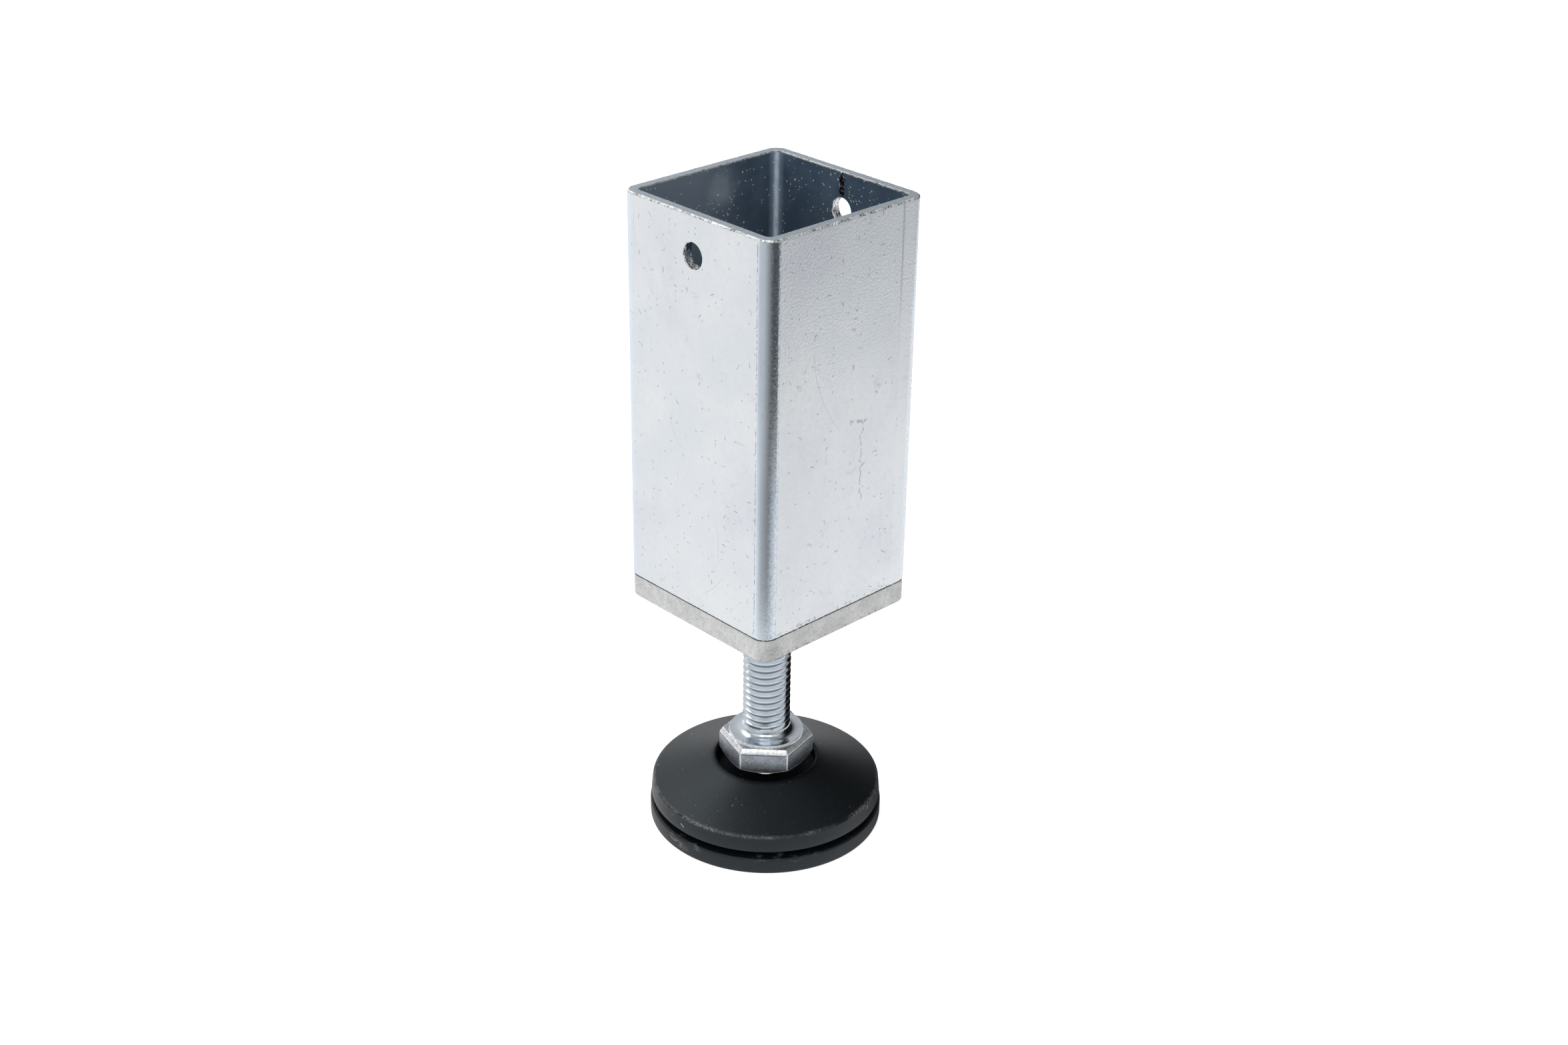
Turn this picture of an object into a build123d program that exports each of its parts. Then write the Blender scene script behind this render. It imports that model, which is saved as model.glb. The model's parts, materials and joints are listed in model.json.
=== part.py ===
from build123d import *
from math import cos, radians, sin, sqrt, tan
import os

# Adjustable furniture foot, in millimetres.
# The origin is the middle of the pad's underside and +Z is up. The tube's faces look along X and Y,
# and its cross holes go through the -Y and +Y walls. The spindle stands as the foot is set at rest.

# Square tube, open at the top for the leg
tube_width = 40.0
tube_wall = 2.0
tube_inner_corner = 1.3
tube_length = 80.0
tube_rim_break = 0.2
weld_bead_width = 1.2
weld_bead_height = 0.35
cross_hole_diameter = 5.0
cross_hole_below_rim = 7.8

# End plug, a casting: flange below the tube, ribbed cup and threaded boss inside it
flange_thickness = 5.0
flange_setback = 0.1
flange_edge_bevel = 0.5
spigot_height = 20.0
spigot_wall = 2.4
spigot_lead_in = 0.8
crush_rib_width = 1.6
crush_rib_spacing = 18.0
bead_clearance = 0.15
boss_diameter = 18.0
web_thickness = 2.4
pocket_floor = 1.0
thread_clearance = 0.08
bore_countersink = 1.8

# Spindle, forged in one piece: threaded rod, hexagon, neck and ball
thread_diameter = 9.85
thread_length = 60.0
thread_end_chamfer = 1.0
exposed_thread = 31.5
root_flare_width = 1.4
root_flare_height = 2.2
round_face_diameter = 15.7
round_face_height = 0.4
hex_across_flats = 17.0
hex_height = 5.6
hex_bevel_in = 0.6
hex_bevel_down = 0.95
hex_chamfer_slope = 30.0
hex_turn = 13.3
ball_diameter = 9.2
ball_flat_diameter = 5.0
ball_below_hex = 5.5

# Base cap, a moulding: cone and rim outside, ball socket and ribs inside
cap_diameter = 48.1
cap_draft = 0.25
cap_wall = 2.0
cap_rim_height = 4.0
cap_shoulder_bevel = 0.3
lip_above_ball = 4.8
lip_width = 0.9
recess_clearance = 0.4
socket_clearance = 0.05
socket_wall = 2.4
socket_floor = 1.35
seat_angle = 45.0
mouth_angle = 32.5
mouth_bevel = 0.4
neck_play = 0.7
stiffening_ribs = 8
stiffening_rib_thickness = 1.6

# Floor pad, rubber: disc on the floor and raised ring that plugs into the cap
pad_overhang = 0.25
pad_thickness = 3.7
pad_edge_bevel = 0.35
pad_core_thickness = 2.4
pad_ring_height = 1.8
pad_ring_clearance = 0.05
pad_pocket_clearance = 0.3
rim_gap = 0.75

# Radii and widths worked out from the sizes above
inner_width = tube_width - 2 * tube_wall
outer_corner = tube_inner_corner + tube_wall
crush_rib_height = weld_bead_height + bead_clearance
spigot_width = inner_width - 2 * crush_rib_height
spigot_corner = tube_inner_corner + crush_rib_height
thread_radius = thread_diameter / 2
hex_flat_radius = hex_across_flats / 2
hex_corner_radius = hex_flat_radius / cos(radians(30))
ball_radius = ball_diameter / 2
socket_radius = ball_radius + socket_clearance
mouth_radius = socket_radius * cos(radians(mouth_angle))
neck_radius = mouth_radius - neck_play
boss_radius = socket_radius + socket_wall
recess_radius = hex_corner_radius + recess_clearance
recess_outer = recess_radius + cap_wall
cap_radius = cap_diameter / 2
skirt_inner = cap_radius - cap_draft - cap_wall
pad_radius = cap_radius + pad_overhang

# Heights above the floor, stacked from the pad to the tube's rim
pad_ring_top = pad_thickness + pad_ring_height
rim_bottom = pad_thickness + rim_gap
shoulder = rim_bottom + cap_rim_height
ball_centre = pad_core_thickness + socket_floor + socket_radius
recess_floor = ball_centre + socket_radius * sin(radians(mouth_angle))
lip_top = ball_centre + lip_above_ball
hex_bottom = ball_centre + ball_below_hex
hex_top = hex_bottom + hex_height
round_face = hex_top + round_face_height
flange_bottom = round_face + exposed_thread
seam = flange_bottom + flange_thickness
spigot_top = seam + spigot_height
thread_tip = round_face + thread_length
rim = seam + tube_length
cross_hole_height = rim - cross_hole_below_rim


def disc(radius, bottom, top):
    return Pos(0, 0, bottom) * Cylinder(radius, top - bottom, align=(Align.CENTER, Align.CENTER, Align.MIN))


def square_bar(width, corner, bottom, top):
    return Pos(0, 0, bottom) * extrude(RectangleRounded(width, width, corner), top - bottom)


def block(x_size, y_size, bottom, top, x=0.0, y=0.0):
    return Pos(x, y, bottom) * Box(x_size, y_size, top - bottom, align=(Align.CENTER, Align.CENTER, Align.MIN))


def turned(points):
    # Revolves a closed section of (radius, height) points
    return revolve(make_face(Polyline(*[(radius, 0, height) for radius, height in points], close=True)), Axis.Z)


# The tube is bent from strip and welded along the middle of its +Y wall, which leaves a bead inside
def make_tube():
    tube = square_bar(tube_width, outer_corner, seam, rim)
    tube = chamfer(tube.faces().sort_by(Axis.Z)[-1].edges(), tube_rim_break)
    tube -= square_bar(inner_width, tube_inner_corner, seam, rim)
    bead_depth = weld_bead_height + tube_wall / 2
    bead_middle = inner_width / 2 - weld_bead_height + bead_depth / 2
    tube += block(weld_bead_width, bead_depth, seam, rim, y=bead_middle)
    drill = Rot(90, 0, 0) * Cylinder(cross_hole_diameter / 2, 2 * tube_width)
    return tube - Pos(0, 0, cross_hole_height) * drill


# Two crush ribs on each side of the cup grip the tube, and the weld bead passes between one pair
def make_crush_ribs():
    ribs = []
    for turn in range(4):
        for side in (-1, 1):
            rib = block(crush_rib_width, crush_rib_height + spigot_wall / 2, seam, spigot_top - spigot_lead_in,
                        x=side * crush_rib_spacing / 2,
                        y=inner_width / 2 - (crush_rib_height + spigot_wall / 2) / 2)
            ribs.append(Rot(0, 0, 90 * turn) * rib)
    return ribs


def make_plug():
    flange_width = tube_width - 2 * flange_setback
    flange = square_bar(flange_width, outer_corner - flange_setback, flange_bottom, seam)
    flange = chamfer(flange.faces().sort_by(Axis.Z)[0].edges(), flange_edge_bevel)
    cup = square_bar(spigot_width, spigot_corner, seam, spigot_top)
    cup = chamfer(cup.faces().sort_by(Axis.Z)[-1].edges(), spigot_lead_in)
    pocket_width = spigot_width - 2 * spigot_wall
    pocket = square_bar(pocket_width, spigot_corner, seam + pocket_floor, spigot_top)
    pocket -= disc(boss_diameter / 2, seam, spigot_top)
    pocket -= block(spigot_width, web_thickness, seam, spigot_top)
    pocket -= block(web_thickness, spigot_width, seam, spigot_top)
    plug = flange + cup - pocket
    for rib in make_crush_ribs():
        plug += rib
    bore_radius = thread_radius + thread_clearance
    plug -= disc(bore_radius, flange_bottom, spigot_top)
    mouth = Cone(bore_radius + bore_countersink, bore_radius, bore_countersink,
                 align=(Align.CENTER, Align.CENTER, Align.MIN))
    return plug - Pos(0, 0, flange_bottom) * mouth


# The hexagon has a flat bevel along its upper edges and a turned chamfer round its lower corners
def make_hexagon():
    def outline(flat_radius, height):
        hexagon = RegularPolygon(flat_radius, 6, major_radius=False, rotation=hex_turn - 30)
        return Pos(0, 0, height) * hexagon

    bevel_start = hex_top - hex_bevel_down
    sides = extrude(outline(hex_flat_radius, hex_bottom), bevel_start - hex_bottom)
    bevel = loft([outline(hex_flat_radius, bevel_start), outline(hex_flat_radius - hex_bevel_in, hex_top)])
    chamfer_rise = hex_height / 2
    chamfer_run = chamfer_rise / tan(radians(hex_chamfer_slope))
    turned_limit = turned([
        (0, hex_bottom),
        (hex_flat_radius, hex_bottom),
        (hex_flat_radius + chamfer_run, hex_bottom + chamfer_rise),
        (hex_flat_radius + chamfer_run, hex_top),
        (0, hex_top),
    ])
    return (sides + bevel) & turned_limit


def make_spindle():
    rod = disc(thread_radius, hex_top, thread_tip)
    rod = chamfer(rod.edges().sort_by(Axis.Z)[-1], thread_end_chamfer)
    round_disc = disc(round_face_diameter / 2, hex_top - hex_bevel_down, round_face)
    flare = Pos(0, 0, round_face) * Cone(thread_radius + root_flare_width, thread_radius, root_flare_height,
                                         align=(Align.CENTER, Align.CENTER, Align.MIN))
    stem = round_disc + flare + rod
    neck = disc(neck_radius, ball_centre, hex_bottom)
    ball = Pos(0, 0, ball_centre) * Sphere(ball_radius)
    flat_height = ball_centre - sqrt(ball_radius ** 2 - (ball_flat_diameter / 2) ** 2)
    ball -= disc(ball_radius, 0, flat_height)
    return stem + make_hexagon() + neck + ball


# The cap's cone ends in a lip round a recess, which leaves the hexagon room when the foot tilts
def make_cap():
    cone_run = cap_radius - cap_draft - recess_radius - lip_width
    cone_slope = (lip_top - shoulder) / cone_run
    body = turned([
        (0, pad_core_thickness),
        (boss_radius, pad_core_thickness),
        (boss_radius, rim_bottom),
        (cap_radius, rim_bottom),
        (cap_radius - cap_draft, shoulder - cap_shoulder_bevel),
        (cap_radius - cap_draft - cap_shoulder_bevel, shoulder + cone_slope * cap_shoulder_bevel),
        (recess_radius + lip_width, lip_top),
        (recess_radius, lip_top),
        (recess_radius, recess_floor),
        (0, recess_floor),
    ])

    wall_below_cone = cap_wall * sqrt(1 + cone_slope ** 2)
    ceiling_at_skirt = shoulder + cone_slope * cap_wall - wall_below_cone
    ceiling_at_recess = shoulder + cone_slope * (cap_radius - cap_draft - recess_outer) - wall_below_cone
    hollow = turned([
        (boss_radius, rim_bottom),
        (skirt_inner, rim_bottom),
        (skirt_inner, ceiling_at_skirt),
        (recess_outer, ceiling_at_recess),
        (recess_outer, recess_floor - cap_wall),
        (boss_radius, recess_floor - cap_wall),
    ])
    for rib in PolarLocations(0, stiffening_ribs):
        hollow -= rib * Pos(cap_radius / 2, 0, pad_ring_top) * Box(
            cap_radius, stiffening_rib_thickness, lip_top, align=(Align.CENTER, Align.CENTER, Align.MIN))

    # The ball sits on a conical seat below its middle and snaps in past the lip's cone above it
    seat_start = socket_radius * tan(radians(seat_angle / 2))
    lip_start = socket_radius * tan(radians(mouth_angle / 2))
    socket = turned([
        (0, ball_centre - socket_radius),
        (seat_start, ball_centre - socket_radius),
        (socket_radius, ball_centre - seat_start),
        (socket_radius, ball_centre + lip_start),
        (mouth_radius, recess_floor),
        (0, recess_floor),
    ])
    mouth = Pos(0, 0, recess_floor - mouth_bevel) * Cone(
        mouth_radius, mouth_radius + mouth_bevel, mouth_bevel, align=(Align.CENTER, Align.CENTER, Align.MIN))
    return body - hollow - socket - mouth


# The pad's ring stands inside the cap's skirt and carries the ribs; its pocket takes the socket's end
def make_pad():
    pocket_radius = boss_radius + pad_pocket_clearance
    ring_radius = skirt_inner - pad_ring_clearance
    return turned([
        (0, 0),
        (pad_radius, 0),
        (pad_radius, pad_thickness - pad_edge_bevel),
        (pad_radius - pad_edge_bevel, pad_thickness),
        (ring_radius, pad_thickness),
        (ring_radius, pad_ring_top),
        (pocket_radius, pad_ring_top),
        (pocket_radius, pad_core_thickness),
        (0, pad_core_thickness),
    ])


pieces = {
    "square_tube": make_tube(),
    "end_plug": make_plug(),
    "spindle": make_spindle(),
    "base_cap": make_cap(),
    "floor_pad": make_pad(),
}

os.makedirs("parts", exist_ok=True)
for name, shape in pieces.items():
    export_step(shape, f"parts/{name}.step")
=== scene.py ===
import json
import math
from functools import partial

import bmesh
import bpy
from mathutils import Matrix, Vector, noise


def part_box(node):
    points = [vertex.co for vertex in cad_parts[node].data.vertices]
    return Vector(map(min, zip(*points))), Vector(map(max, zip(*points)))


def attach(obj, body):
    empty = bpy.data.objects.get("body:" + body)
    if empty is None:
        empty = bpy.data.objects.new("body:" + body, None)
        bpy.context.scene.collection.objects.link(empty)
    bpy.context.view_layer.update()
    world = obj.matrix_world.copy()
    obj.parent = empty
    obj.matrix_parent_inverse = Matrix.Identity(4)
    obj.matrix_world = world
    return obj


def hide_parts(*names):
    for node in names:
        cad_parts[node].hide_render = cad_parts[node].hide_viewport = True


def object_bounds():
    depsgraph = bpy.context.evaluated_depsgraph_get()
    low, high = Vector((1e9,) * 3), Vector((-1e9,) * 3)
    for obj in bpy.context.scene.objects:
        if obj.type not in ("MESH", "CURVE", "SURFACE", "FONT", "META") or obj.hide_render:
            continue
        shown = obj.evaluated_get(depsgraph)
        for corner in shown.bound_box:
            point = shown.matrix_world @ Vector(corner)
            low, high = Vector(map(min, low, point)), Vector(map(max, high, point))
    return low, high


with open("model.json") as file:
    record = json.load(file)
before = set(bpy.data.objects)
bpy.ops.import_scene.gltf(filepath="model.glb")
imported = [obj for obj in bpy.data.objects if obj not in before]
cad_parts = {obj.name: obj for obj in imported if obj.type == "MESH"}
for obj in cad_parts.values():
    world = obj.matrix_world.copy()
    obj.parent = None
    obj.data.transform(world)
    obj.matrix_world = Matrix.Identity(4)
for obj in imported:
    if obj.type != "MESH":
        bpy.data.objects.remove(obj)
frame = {"record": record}
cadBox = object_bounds()
mm = 0.001
sharpEdge = math.radians(32)


def millimetres(node):
    low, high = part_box(node)
    return low / mm, high / mm


tubeLow, tubeHigh = millimetres("square_tube")
plugLow, plugHigh = millimetres("end_plug")
rodTop = millimetres("spindle")[1].z
mounts = {mount["name"]: mount for mount in frame["record"]["mounts"]}
holeHeight = mounts["cross_hole"]["pos_m"][2] / mm
holeRadius = mounts["cross_hole"]["dims"]["r_mm"]
ballCentre = 8.4

# Sizes are in millimetres. Meshes are made in them too, and are scaled when a piece is finished.
tube = {
    "wall": 2.0,
    "corner": 2.9,
    "innerCorner": 1.3,
    "pointsPerSide": 190,
    "pointsPerCorner": 20,
    "rowSpacing": 2.5,
    "drillPoints": 96,
    "burrDepth": 0.16,          # how far the saw has torn the rim's outer edge
    "burrGrain": 0.30,
    "innerBurr": 0.12,
    "beadWidth": 1.2,
    "beadHeight": 0.35,
    "beadLumps": 0.12,
    "beadSpacing": 0.3,
    "beadPoints": 14,
    "holeFlare": 0.12,
}
plug = {
    "setback": 0.1,
    "bevel": 0.2,
    "flange": 5.0,
    "spigotWidth": 35.0,
    "spigotCorner": 1.8,
    "spigotWall": 2.4,
    "leadIn": 0.8,
    "pocketFloor": 1.0,
    "bossRadius": 9.0,
    "boreRadius": 5.0,
    "webThickness": 2.4,
    "ribWidth": 1.6,
    "ribSideways": 9.0,
    "roughness": 0.05,
    "pointsPerSide": 100,
    "pointsPerCorner": 14,
}
spindle = {
    "pitch": 1.5,
    "threadRadius": 4.925,
    "threadDepth": 0.92,
    "tipChamfer": 1.0,
    "runOut": 0.9,
    "shankRadius": 4.45,
    "threadStart": 20.7,
    "columns": 84,
    "rowsPerPitch": 16,
    "roundRadius": 7.85,
    "roundTop": 19.9,
    "flareRadius": 6.7,
    "flareTop": 21.7,
    "hexFlat": 8.5,
    "hexBottom": 13.9,
    "hexTop": 19.35,
    "hexBevelIn": 0.6,
    "hexBevelDown": 1.0,
    "hexTurn": 13.3,
    "hexCorner": 0.34,
    "neckRadius": 3.22,
    "ballRadius": 4.6,
    "ballFlat": 2.5,
    "bevelSlope": 30.0,
    "pointsPerSide": 26,
    "pointsPerCorner": 6,
}
cap = {
    "radius": 24.05,
    "draft": 0.25,
    "rimBottom": 5.1,
    "shoulder": 8.45,
    "shoulderRound": 0.7,
    "coneTilt": 21.0,
    "lipTop": 13.2,
    "lipRound": 0.6,
    "recessRadius": 10.215,
    "recessFloor": 10.9,
    "bossRadius": 7.05,
    "bossBottom": 2.4,
    "skirtInner": 21.8,
    "mouthRadius": 3.95,
    "socketRadius": 4.7,
    "ribs": 8,
    "ribThickness": 1.6,
    "points": 220,
}
pad = {
    "radius": 24.3,
    "thickness": 3.5,
    "edgeRound": 0.45,
    "ringRadius": 21.75,
    "ringTop": 5.5,
    "pocketRadius": 7.35,
    "core": 2.4,
    "points": 220,
}


# Nodes go into the tree that was opened last. A value that comes from another node is fed as a link.
opened = {}


def openTree(tree):
    tree.nodes.clear()
    opened["tree"] = tree


def feed(socket, value):
    if isinstance(value, bpy.types.NodeSocket):
        opened["tree"].links.new(value, socket)
    else:
        socket.default_value = value


def put(kind, inputs=None, **settings):
    node = opened["tree"].nodes.new(kind)
    for name, value in settings.items():
        setattr(node, name, value)
    for name, value in (inputs or {}).items():
        feed(node.inputs[name], value)
    return node


def shade(kind, inputs=None, **settings):
    return put("ShaderNode" + kind, inputs, **settings)


def geo(kind, inputs=None, **settings):
    return put("GeometryNode" + kind, inputs, **settings).outputs[0]


def calc(operation, a, b=0.0, c=0.0, clamp=False):
    return shade("Math", {0: a, 1: b, 2: c}, operation=operation, use_clamp=clamp).outputs[0]


times = partial(calc, "MULTIPLY")
plus = partial(calc, "ADD")
minus = partial(calc, "SUBTRACT")
most = partial(calc, "MAXIMUM")
least = partial(calc, "MINIMUM")
scaled = partial(calc, "MULTIPLY_ADD")
unsigned = partial(calc, "ABSOLUTE")
over = partial(calc, "GREATER_THAN")


def apart(a, b):
    return unsigned(minus(a, b))


def hypot(a, b):
    return calc("SQRT", plus(times(a, a), times(b, b)))


def combine(x=0.0, y=0.0, z=0.0):
    return shade("CombineXYZ", {0: x, 1: y, 2: z}).outputs[0]


def vector(operation, a, b):
    outputs = shade("VectorMath", {0: a, 1: b}, operation=operation).outputs
    return outputs["Value" if operation in ("DISTANCE", "DOT_PRODUCT") else "Vector"]


# A smooth step from none at the first value to one at the second
def step(value, low, high):
    inputs = {"Value": value, "From Min": low, "From Max": high}
    return shade("MapRange", inputs, interpolation_type="SMOOTHSTEP").outputs["Result"]


# The same between two lengths in millimetres
def span(value, low, high):
    return step(value, low * mm, high * mm)


# One on the +X side, fading to none this far in from it
def onPlusX(x, fade, full=0.1):
    return span(x, tubeHigh.x - fade, tubeHigh.x - full)


def grey(level):
    return (level, level, level, 1)


def blend(factor, a, b, mode="MIX"):
    return shade("Mix", {0: factor, 6: a, 7: b}, data_type="RGBA", blend_type=mode).outputs[2]


def ramp(factor, stops):
    node = shade("ValToRGB", {"Fac": factor})
    points = node.color_ramp.elements
    while len(points) < len(stops):
        points.new(0.5)
    for point, (where, tone) in zip(points, stops):
        point.position = where
        point.color = tone if isinstance(tone, tuple) else grey(tone)
    return node.outputs["Color"]


def place(stretch=(1, 1, 1), turn=(0, 0, 0), move=(0, 0, 0)):
    point = shade("TexCoord").outputs["Object"]
    inputs = {"Vector": point, "Scale": stretch, "Rotation": turn, "Location": move}
    return shade("Mapping", inputs).outputs[0]


def cloud(scale, detail=3.0, rough=0.5, warp=0.0, **placed):
    inputs = {"Scale": scale, "Detail": detail, "Roughness": rough, "Distortion": warp}
    return shade("TexNoise", {"Vector": place(**placed), **inputs}).outputs["Fac"]


# How far a spot is from a point given in millimetres
def farFrom(point):
    return vector("DISTANCE", place(), tuple(Vector(point) * mm))


def split(point):
    return shade("SeparateXYZ", {0: point}).outputs


def lump(height, depth, strength=1.0, normal=None):
    inputs = {"Height": height, "Distance": depth * mm, "Strength": strength}
    if normal is not None:
        inputs["Normal"] = normal
    return shade("Bump", inputs).outputs[0]


def newMaterial(name):
    material = bpy.data.materials.new(name)
    material.use_nodes = True
    openTree(material.node_tree)
    return material


# Feeds a finish's shader, whose sockets are named with _ for each space
def cover(material, **sockets):
    shader = material.node_tree.nodes["shader"]
    for socket, value in sockets.items():
        feed(shader.inputs[socket.replace("_", " ")], value)
    return material


def newFinish(name, **sockets):
    material = newMaterial(name)
    shader = shade("BsdfPrincipled", name="shader")
    shade("OutputMaterial", {"Surface": shader.outputs[0]})
    return cover(material, **sockets)


# A finish of one grain: dark and pale tones on either side of a step, and the grain raised
def grainFinish(name, metallic, roughness, scale, limits, dark, pale, depth, strength=0.8):
    material = newFinish(name, Metallic=metallic, Roughness=roughness)
    grain = cloud(scale, 3.0, 0.7)
    colour = blend(step(grain, *limits), dark, pale)
    return cover(material, Base_Color=colour, Normal=lump(grain, depth, strength))


# Short bent scratches: one in some cells of a flat pattern, each turned its own way
def dings(flatPoint, scale, share, length, width, seed):
    inputs = {"Vector": flatPoint, "Scale": (scale, scale, 1), "Location": (seed, 2 * seed, 0)}
    point = shade("Mapping", inputs).outputs[0]
    cell = shade("TexVoronoi", {"Vector": point, "Scale": 1.0}, voronoi_dimensions="2D").outputs
    chance, spin, bend = split(cell["Color"])[:]
    local = vector("SUBTRACT", point, cell["Position"])
    inputs = {"Vector": local, "Angle": times(spin, 2 * math.pi)}
    turned = shade("VectorRotate", inputs, rotation_type="Z_AXIS").outputs[0]
    along, aside, _ = split(turned)[:]
    curve = times(times(along, along), times(bend, 1.5))
    near = step(apart(aside, curve), width, width * 0.3)
    within = step(unsigned(along), length, length * 0.4)
    some = over(chance, 1.0 - share)
    return times(times(near, within), some)


# A short straight mark from one point to another, both in millimetres
def mark(start, end, width, broken=None):
    start, end = Vector(start), Vector(end)
    course = tuple((end - start).normalized())
    point = vector("SUBTRACT", place(), tuple(start * mm))
    along = least(most(vector("DOT_PRODUCT", point, course), 0.0), (end - start).length * mm)
    nearest = shade("VectorMath", {0: course, "Scale": along}, operation="SCALE").outputs[0]
    found = span(vector("DISTANCE", point, nearest), width, 0.4 * width)
    return found if broken is None else times(found, broken)


# An uneven upright line on the +X wall; across says where it lies along Y, in metres, at each height
def upright(x, y, z, across, low, high, width):
    line = span(apart(y, across), width, 0.3 * width)
    within = times(span(z, low - 2, low + 1), span(z, high, high - 1))
    return times(times(line, within), over(x, (tubeHigh.x - 0.5) * mm))


# Round specks, one in each cell of a pattern turned askew
def specks(scale, size, seed):
    point = place(turn=(0.3, 0.5, 0.1), move=(seed, 0, 0))
    gap = shade("TexVoronoi", {"Vector": point, "Scale": scale}).outputs["Distance"]
    return step(gap, size, size * 0.4)


# Wear, and one painted highlight inside the tube, that have a place: upright lines by heights and width,
# marks by ends and width, patches by their middle
wearAndHighlight = {
    "crack": (77.6, 96.2, 0.20),
    "scratch": (96.0, 113.3, 0.07),
    "line": (108.0, 140.0, 0.35),
    "stain": ((20, 1.6, 95.9), (20, 5.6, 95.2), 0.45),
    "padRub": ((-2.4, -24.1, 2.5), (1.9, -24.2, 1.3), 0.9),
    "paintedInsideHighlight": (-18.0, 3.5, 131.5),
    "darkCasting": (19.9, -17.2, 53.2),
    "capMarks": [
        ((0.1, -23.98, 6.74), (0.9, -23.96, 6.32), 0.16),
        ((-9.4, -22.06, 8.3), (-9.3, -22.1, 8.2), 0.22),
        ((10.5, 6.4, 12.8), (9.9, 8.2, 12.6), 0.10),
        ((6.9, -15.8, 10.95), (6.8, -15.7, 10.95), 0.14),
        ((22.9, 7.2, 7.3), (22.5, 7.9, 7.7), 0.18),
        ((21.4, 9.6, 8.0), (20.9, 10.6, 8.2), 0.16),
        ((20.5, 12.3, 7.7), (20.3, 12.6, 7.6), 0.14),
    ],
}
zinc = {
    "cornerTint": (0.93, 0.99, 1.05, 1),
    "colour": (0.775, 0.812, 0.848, 1),
    "pale": (0.835, 0.862, 0.888, 1),
    "dull": (0.66, 0.70, 0.745, 1),
    "violet": (0.755, 0.775, 0.835, 1),
    "mark": (0.20, 0.22, 0.25, 1),
    "glint": (0.95, 0.97, 1.0, 1),
    "stain": (0.33, 0.33, 0.30, 1),
    "roughness": 0.34,
    "cornerPolish": 0.14,
}


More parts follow.
